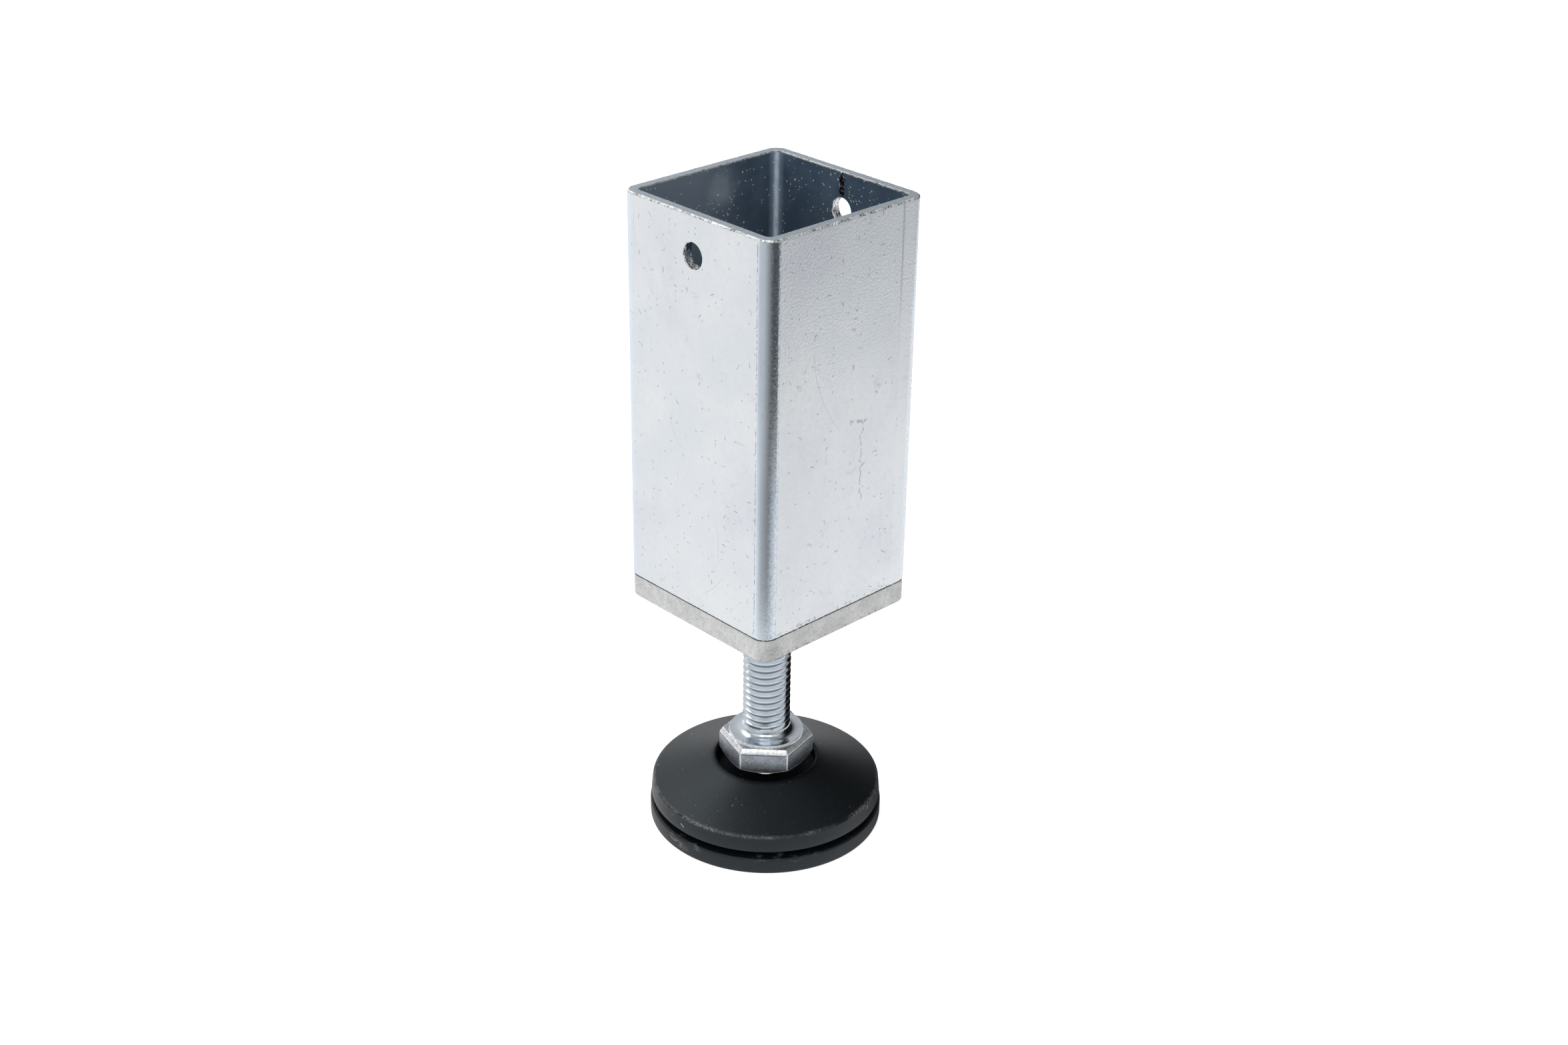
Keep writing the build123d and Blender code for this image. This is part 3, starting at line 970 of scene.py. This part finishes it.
# The weld bead runs down the middle of the +Y wall in two stretches, above and below the hole
def makeBead(low, high, name):
    face = tubeHigh.y - tube["wall"]
    rings = []
    count = max(4, int((high - low) / tube["beadSpacing"]))
    around = tube["beadPoints"]
    for row in range(count + 1):
        height = low + (high - low) * row / count
        swell = 1 + 0.5 * noise.noise(Vector((0, height * 1.1, 3.0)))
        drift = tube["beadLumps"] * noise.noise(Vector((5.0, height * 0.5, 0)))
        end = min(1.0, 0.35 + 2.0 * min(row, count - row) / 6)
        ring = []
        for k in range(around):
            angle = 2 * math.pi * k / around
            bump = 1 + 0.25 * noise.noise(Vector((math.cos(angle), math.sin(angle), height * 2.3)))
            across = drift + 0.5 * tube["beadWidth"] * swell * end * bump * math.cos(angle)
            depth = tube["beadHeight"] * swell * end * bump * math.sin(angle)
            ring.append(Vector((across, face - depth, height)))
        rings.append(ring)
    return newObject(name, loft(rings, [0]), [finishes["bead"]])


shell = makeTube()
drill = makeDrill()
cut = shell.modifiers.new("drilled", "BOOLEAN")
cut.operation = "DIFFERENCE"
cut.object = drill
cut.solver = "EXACT"
plainMesh(shell)
bpy.data.objects.remove(drill)
clear = holeRadius + 0.35
beads = [makeBead(tubeLow.z + 0.1, holeHeight - clear, "beadBelow"),
         makeBead(holeHeight + clear, tubeHigh.z - 0.25, "beadAbove")]
finishPiece([shell] + beads, "sleeve", ["square_tube"])


# End plug: one closed casting that turns back down inside the cup and through the threaded bore
def makePlug():
    half = tubeHigh.x
    corner = tube["corner"] - plug["setback"]
    wide = half - plug["setback"]
    low, high = plugLow.z, plugHigh.z
    seam = low + plug["flange"]
    perSide, perCorner = plug["pointsPerSide"], plug["pointsPerCorner"]
    side = roundedPolygon(4, wide, corner, perSide, perCorner)
    spigot = plug["spigotWidth"] / 2
    cast, edge = 0, 1

    def square(flat, radius, height, rough=0.0):
        outline = roundedPolygon(4, flat, radius, perSide, perCorner)
        points = []
        for point in outline:
            spot = Vector((point.x, point.y, height)) * 0.9
            inward = rough * (0.5 + 0.5 * noise.noise(spot)) + 0.4 * rough * noise.noise(spot * 3.1)
            scale = 1 - max(0.0, inward) / half
            points.append(Vector((point.x * scale, point.y * scale, height)))
        return points

    def hoop(radius, height):
        return atHeight(circleLike(side, radius), height)

    rough, bevel, bore = plug["roughness"], plug["bevel"], plug["boreRadius"]
    curve, leadIn = plug["spigotCorner"], plug["leadIn"]
    pocket = spigot - plug["spigotWall"]
    pocketFloor = seam + plug["pocketFloor"]
    boss = plug["bossRadius"]
    rings = [hoop(bore, low + 0.8), hoop(bore + 0.8, low)]
    rings += [square(wide - bevel - 1.0, corner - bevel, low)]
    rings += [square(wide - bevel - 0.05, corner - bevel, low + 0.01)]
    rings += [square(wide - 0.08, corner, low + bevel - 0.03, rough)]
    zones = [cast, cast, cast, edge]
    rows = 13
    for k in range(rows + 1):
        rise = (plug["flange"] - bevel - 0.2) * k / rows
        rings.append(square(wide, corner, low + bevel + 0.05 + rise, rough))
        zones.append(cast)
    rings += [square(wide - 0.1, corner, seam), square(spigot, curve, seam)]
    rings += [square(spigot, curve, high - leadIn), square(spigot - leadIn, curve, high)]
    rings += [square(pocket, curve, high), square(pocket, curve, pocketFloor)]
    rings += [hoop(boss, pocketFloor), hoop(boss - 0.1, high - 0.3), hoop(boss - 0.4, high)]
    rings += [hoop(bore + 0.8, high), hoop(bore, high - 0.8)]
    zones += [cast] * (len(rings) - len(zones))
    casting = newObject("endPlug", loft(rings, zones, loop=True), [finishes["cast"], finishes["castEdge"]])
    parts = [casting, grow("plugWebs", ribTree, finishes["cast"], {
        "Count": 4,
        "Inner Radius": boss - 0.4,
        "Outer Radius": pocket + 0.5,
        "Bottom": seam + 0.5,
        "Top": high - 0.02,
        "Thickness": plug["webThickness"],
    })]
    for sign in (-1, 1):
        parts.append(grow(f"crushRibs{sign}", ribTree, finishes["cast"], {
            "Count": 4,
            "Inner Radius": spigot - 1.0,
            "Outer Radius": half - tube["wall"],
            "Bottom": seam,
            "Top": high - leadIn,
            "Thickness": plug["ribWidth"],
            "Sideways": sign * plug["ribSideways"],
        }))
    return parts


finishPiece(makePlug(), "sleeve", ["end_plug"])


# Spindle: ball, neck, hexagon, round face and flared root are one loft, and the thread grows from it
def makeSpindle():
    perSide, perCorner = spindle["pointsPerSide"], spindle["pointsPerCorner"]
    turn = math.radians(spindle["hexTurn"])
    flat, corner = spindle["hexFlat"], spindle["hexCorner"]
    slope = math.tan(math.radians(spindle["bevelSlope"]))
    face, worn, turned = 0, 1, 2
    bottom, hexTop, roundTop = spindle["hexBottom"], spindle["hexTop"], spindle["roundTop"]

    def hexagon(size, height, rounding=corner):
        return atHeight(roundedPolygon(6, size, rounding, perSide, perCorner, turn), height)

    base = roundedPolygon(6, flat, corner, perSide, perCorner, turn)

    def hoop(radius, height):
        return atHeight(circleLike(base, radius), height)

    def onCone(points, inset):
        foot = bottom - flat * slope + inset
        return [Vector((p.x, p.y, foot + math.hypot(p.x, p.y) * slope)) for p in points]

    columns = ([face] * perSide + [worn] * perCorner) * 6
    ball, neck = spindle["ballRadius"], spindle["neckRadius"]
    rings, zones = [hoop(0.9, ballCentre - math.sqrt(ball ** 2 - spindle["ballFlat"] ** 2))], []
    first = -math.acos(spindle["ballFlat"] / ball)
    last = math.acos(neck / ball)
    ballRows, flareRows = 24, 12
    for k in range(ballRows + 1):
        swing = first + (last - first) * k / ballRows
        rings.append(hoop(ball * math.cos(swing), ballCentre + ball * math.sin(swing)))
    rings += [hoop(neck, bottom), hoop(flat - 0.12, bottom)]
    zones += [turned] * (len(rings) - 1)
    side = hexagon(flat, 0.0)
    rings += [[Vector((p.x * 0.992, p.y * 0.992, p.z - 0.05)) for p in onCone(side, 0.0)], onCone(side, 0.17)]
    zones += [turned, worn]
    bevelStart = hexTop - spindle["hexBevelDown"]
    rings += [hexagon(flat, bottom + 1.2), hexagon(flat, bevelStart - 0.07)]
    zones += [columns, columns]
    bevelEnd = flat - spindle["hexBevelIn"]
    rings += [hexagon(flat - 0.04, bevelStart + 0.05), hexagon(flat - 0.09, bevelStart + 0.14)]
    rings += [hexagon(bevelEnd + 0.10, hexTop - 0.13), hexagon(bevelEnd + 0.02, hexTop - 0.04)]
    zones += [worn] * 4
    disc = spindle["roundRadius"]
    rings += [hexagon(bevelEnd - 0.12, hexTop, 0.2)]
    rings += [hoop(disc + 0.05, hexTop + 0.02), hoop(disc, hexTop + 0.22)]
    rings += [hoop(disc - 0.2, roundTop)]
    zones += [worn, face, worn, worn]
    flareFoot, flareTop, shank = spindle["flareRadius"], spindle["flareTop"], spindle["shankRadius"]
    rings += [hoop(flareFoot + 0.35, roundTop)]
    zones += [turned]
    for k in range(1, flareRows + 1):
        swing = k / flareRows * math.pi / 2
        radius = shank + (flareFoot - shank) * (1 - math.sin(swing)) ** 1.5
        rings.append(hoop(radius, roundTop + (flareTop - roundTop) * (1 - math.cos(swing))))
        zones.append(turned)
    body = newObject("spindleBody", loft(rings, zones),
                     [finishes["hexagon"], finishes["hexEdge"], finishes["thread"]])
    return [body, grow("thread", threadTree, finishes["thread"], {
        "Pitch": spindle["pitch"],
        "Crest Radius": spindle["threadRadius"],
        "Depth": spindle["threadDepth"],
        "Shank Radius": shank - 0.04,
        "Run Out": spindle["runOut"],
        "Tip Chamfer": spindle["tipChamfer"],
        "Bottom": spindle["threadStart"],
        "Top": rodTop,
        "Columns": spindle["columns"],
        "Rows Per Pitch": spindle["rowsPerPitch"],
    })]


finishPiece(makeSpindle(), "spindle", ["spindle"])


# An arc of a turned profile, from one angle to another in degrees, in steps
def arc(centreRadius, centreHeight, size, start, end, steps=6):
    points = []
    for k in range(steps + 1):
        angle = math.radians(start + (end - start) * k / steps)
        points.append((centreRadius + size * math.cos(angle), centreHeight + size * math.sin(angle)))
    return points


def lathe(name, profile, count, materials):
    rings = [atHeight(circle(max(radius, 0.02), count), height) for radius, height in profile]
    return newObject(name, loft(rings, [0], loop=True), materials)


def makeCap():
    radius, draft, shoulder = cap["radius"], cap["draft"], cap["shoulder"]
    lipRound, rim, recessFloor = cap["lipRound"], cap["rimBottom"], cap["recessFloor"]
    lipCentre = cap["recessRadius"] + lipRound
    tilt = cap["coneTilt"]
    soft = cap["shoulderRound"]
    profile = [(cap["bossRadius"], rim), (cap["skirtInner"], rim + 0.02), (radius - 0.25, rim)]
    profile += arc(radius - 0.2, rim + 0.2, 0.2, -70, 0, 3)
    profile += [(radius - draft * 0.5, (rim + shoulder) / 2)]
    turnCentre = radius - draft - soft
    reach = soft * math.tan(math.radians(90 - tilt) / 2)
    profile += arc(turnCentre, shoulder - reach, soft, 0, 90 - tilt, 8)
    coneRows, socketRows = 26, 13
    startRadius, startHeight = profile[-1]
    lip = arc(lipCentre, cap["lipTop"] - lipRound, lipRound, 90 - tilt, 180, 12)
    endRadius, endHeight = lip[0]
    for k in range(1, coneRows):
        share = k / coneRows
        sag = -0.06 * math.sin(share * math.pi)          # the cone is very slightly hollow
        profile.append((startRadius + (endRadius - startRadius) * share,
                        startHeight + (endHeight - startHeight) * share + sag))
    profile += lip
    profile += arc(cap["recessRadius"] - 0.5, recessFloor + 0.5, 0.5, 0, -90, 5)
    mouth, socket = cap["mouthRadius"], cap["socketRadius"]
    profile += [(mouth + 0.4, recessFloor), (mouth, recessFloor - 0.4)]
    for k in range(1, socketRows + 1):
        angle = math.radians(32 - 100 * k / socketRows)
        profile.append((socket * math.cos(angle), ballCentre + socket * math.sin(angle)))
    floorHeight = cap["bossBottom"]
    profile += [(0.05, ballCentre - socket), (0.05, floorHeight), (cap["bossRadius"], floorHeight)]
    solid = lathe("baseCap", profile, cap["points"], [finishes["plastic"]])
    return [solid, grow("capRibs", ribTree, finishes["plastic"], {
        "Count": cap["ribs"],
        "Inner Radius": cap["bossRadius"] - 0.3,
        "Outer Radius": cap["skirtInner"] + 0.4,
        "Bottom": pad["ringTop"],
        "Top": shoulder - 1.4,
        "Thickness": cap["ribThickness"],
        "Top Slope": 0.2,
    })]


finishPiece(makeCap(), "base", ["base_cap"])


def makePad():
    radius, soft, top = pad["radius"], pad["edgeRound"], pad["thickness"]
    profile = [(0.05, 0.0), (radius - soft, 0.0)]
    profile += arc(radius - soft, soft, soft, -90, 0)
    profile += arc(radius - soft, top - soft, soft, 0, 90)
    ring, ringTop, pocket, core = pad["ringRadius"], pad["ringTop"], pad["pocketRadius"], pad["core"]
    profile += [(ring, top), (ring, ringTop), (pocket, ringTop), (pocket, core), (0.05, core)]
    return [lathe("floorPad", profile, pad["points"], [finishes["rubber"]])]


finishPiece(makePad(), "base", ["floor_pad"])
print("pieces are in place")


# Camera, from the photograph's own perspective
camera = {
    "lens": 49.536,
    "azimuth": 45.767,
    "elevation": 27.124,
    "roll": 0.9865,
    "place": (275.50, -264.07, 263.32),
}
eye = bpy.data.objects.new("eye", bpy.data.cameras.new("eye"))
eye.data.lens = camera["lens"]
eye.data.sensor_width = 36.0
eye.data.clip_start = 0.01
turnAbout = Matrix.Rotation(math.radians(camera["azimuth"]), 4, "Z")
tiltDown = Matrix.Rotation(math.radians(90 - camera["elevation"]), 4, "X")
rollOver = Matrix.Rotation(math.radians(camera["roll"]), 4, "Z")
eye.matrix_world = Matrix.Translation(Vector(camera["place"]) * mm) @ turnAbout @ tiltDown @ rollOver
bpy.context.scene.collection.objects.link(eye)
bpy.context.scene.camera = eye

# Studio: a white sweep of floor, a soft light behind to the left, another above the camera, a dark right side
studio = {
    "floorSize": 6.0,
    "floorWhite": 0.80,
    "floorGlow": 0.72,          # the camera's floor keeps only a faint shadow
    "nearFloor": (0.09, 0.115),
    "farFloor": (0.15, 0.25),
    "rightDim": (0.25, 0.40),
    "rightTone": (0.50, 0.515, 0.53, 1),
    "leftLamp": 2.0,
    "frontLamp": 0.9,
    "skyTop": 0.60,
    "skyLeft": 0.74,
    "skyHighLeft": 1.5,
    "skyBehind": 1.75,
    "skyRight": 0.45,
}


# Greys that metal sees in the floor, by bearing in degrees from the tube's front corner
def bearings(tones):
    return [((degrees + 180) / 360, tone) for degrees, tone in tones]


floorClose = bearings([
    (-180, 1.0), (60, 1.0), (76, 0.50), (86, 0.16), (110, 0.12), (140, 0.20), (158, 0.32), (168, 0.9),
    (180, 1.0)])
floorNear = bearings([
    (-180, 1.0), (-130, 1.0), (-118, 0.90), (-100, 0.66), (-80, 0.42), (-44, 0.27), (-28, 0.32), (-11, 0.56),
    (25, 0.95), (40, 1.0), (180, 1.0)])
floorFar = bearings([
    (-180, 1.0), (-132, 1.0), (-118, 0.66), (-95, 0.60), (-77, 0.58), (-60, 0.44), (-44, 0.30), (-28, 0.18),
    (-11, 0.08), (29, 0.10), (33, 0.60), (36, 1.0), (180, 1.0)])


def makeFloor():
    mesh = bmesh.new()
    bmesh.ops.create_grid(mesh, x_segments=1, y_segments=1, size=studio["floorSize"] / 2)
    for vert in mesh.verts:
        vert.co.z = cadBox[0].z
    floor = newObject("floor", mesh, [])
    material = newMaterial("paleFloor")
    x, y, _ = split(place(move=(-0.0167, 0.0167, 0)))[:]
    bearing = scaled(calc("ARCTAN2", y, x), 0.5 / math.pi, 0.5)
    distance = hypot(x, y)

    # What metal sees in it: white close by but dark behind, and further off greys by bearing
    close = ramp(bearing, floorClose)
    near = ramp(bearing, floorNear)
    far = ramp(bearing, floorFar)
    tone = blend(step(distance, *studio["farFloor"]), near, far)
    tone = blend(step(distance, *studio["nearFloor"]), close, tone)
    away = plus(times(x, 0.72), times(y, 0.70))
    tone = blend(step(away, *studio["rightDim"]), tone, studio["rightTone"], "DARKEN")
    rays = shade("LightPath").outputs
    reflected = most(rays["Is Glossy Ray"], rays["Is Transmission Ray"])
    glow = shade("Emission", {"Color": tone, "Strength": 1.0}).outputs[0]
    paint = shade("BsdfDiffuse", {"Color": grey(studio["floorWhite"])}).outputs[0]
    lit = shade("Emission", {"Color": grey(1.0), "Strength": studio["floorGlow"]}).outputs[0]
    lifted = shade("AddShader", {0: paint, 1: lit}).outputs[0]
    direct = shade("MixShader", {0: rays["Is Camera Ray"], 1: paint, 2: lifted}).outputs[0]
    mixed = shade("MixShader", {0: reflected, 1: direct, 2: glow}).outputs[0]
    shade("OutputMaterial", {"Surface": mixed})
    floor.data.materials.append(material)


# A direction from its bearing and its height above the floor, both in degrees
def towards(bearing, raised):
    across = math.cos(math.radians(raised))
    return (across * math.cos(math.radians(bearing)), across * math.sin(math.radians(bearing)),
            math.sin(math.radians(raised)))


def glowTowards(direction, aim, low, high, strength):
    return times(step(vector("DOT_PRODUCT", direction, aim), low, high), strength)


def makeSky():
    world = bpy.data.worlds.new("studio")
    world.use_nodes = True
    openTree(world.node_tree)
    direction = shade("TexCoord").outputs["Generated"]
    top = glowTowards(direction, towards(-44, 70), 0.50, 0.95, studio["skyTop"])
    left = glowTowards(direction, towards(175, 20), 0.50, 0.95, studio["skyLeft"])
    front = glowTowards(direction, towards(-100, 10), 0.30, 0.95, 0.55)
    behind = glowTowards(direction, towards(140, 0), 0.84, 0.94, studio["skyBehind"])
    behind = times(behind, step(split(direction)[2], 0.20, 0.05))
    left = plus(left, glowTowards(direction, towards(178, 57), 0.90, 0.99, studio["skyHighLeft"]))
    right = glowTowards(direction, towards(5, 15), 0.60, 0.98, studio["skyRight"])
    level = plus(most(most(left, front), behind), right)
    level = plus(plus(level, top), 0.008)
    rays = shade("LightPath").outputs
    back = shade("Background", {"Color": (0.97, 0.985, 1.0, 1), "Strength": level}).outputs[0]
    white = shade("Background", {"Color": grey(1.0), "Strength": 1.0}).outputs[0]
    mixed = shade("MixShader", {0: rays["Is Camera Ray"], 1: back, 2: white}).outputs[0]
    shade("OutputWorld", {"Surface": mixed})
    bpy.context.scene.world = world


# A rectangular lamp that looks as bright as its radiance from anywhere in front of it
def makeLamp(name, bearing, raised, distance, size, radiance, shines=True):
    data = bpy.data.lights.new(name, "AREA")
    data.shape = "RECTANGLE"
    data.size, data.size_y = size
    data.energy = radiance * math.pi * size[0] * size[1]
    lamp = bpy.data.objects.new(name, data)
    spot = Vector(towards(bearing, raised)) * distance + Vector((0, 0, 0.06))
    aim = Vector((0, 0, 0.06)) - spot
    lamp.matrix_world = Matrix.Translation(spot) @ aim.to_track_quat("-Z", "Y").to_matrix().to_4x4()
    lamp.visible_camera = False
    lamp.visible_glossy = shines
    bpy.context.scene.collection.objects.link(lamp)


makeFloor()
makeSky()
makeLamp("softLeft", 178, 42, 0.9, (0.75, 0.75), studio["leftLamp"], shines=False)
makeLamp("softFront", -46, 44, 1.3, (1.1, 0.9), studio["frontLamp"])
bpy.context.scene.view_settings.view_transform = "Standard"
print("studio is set")
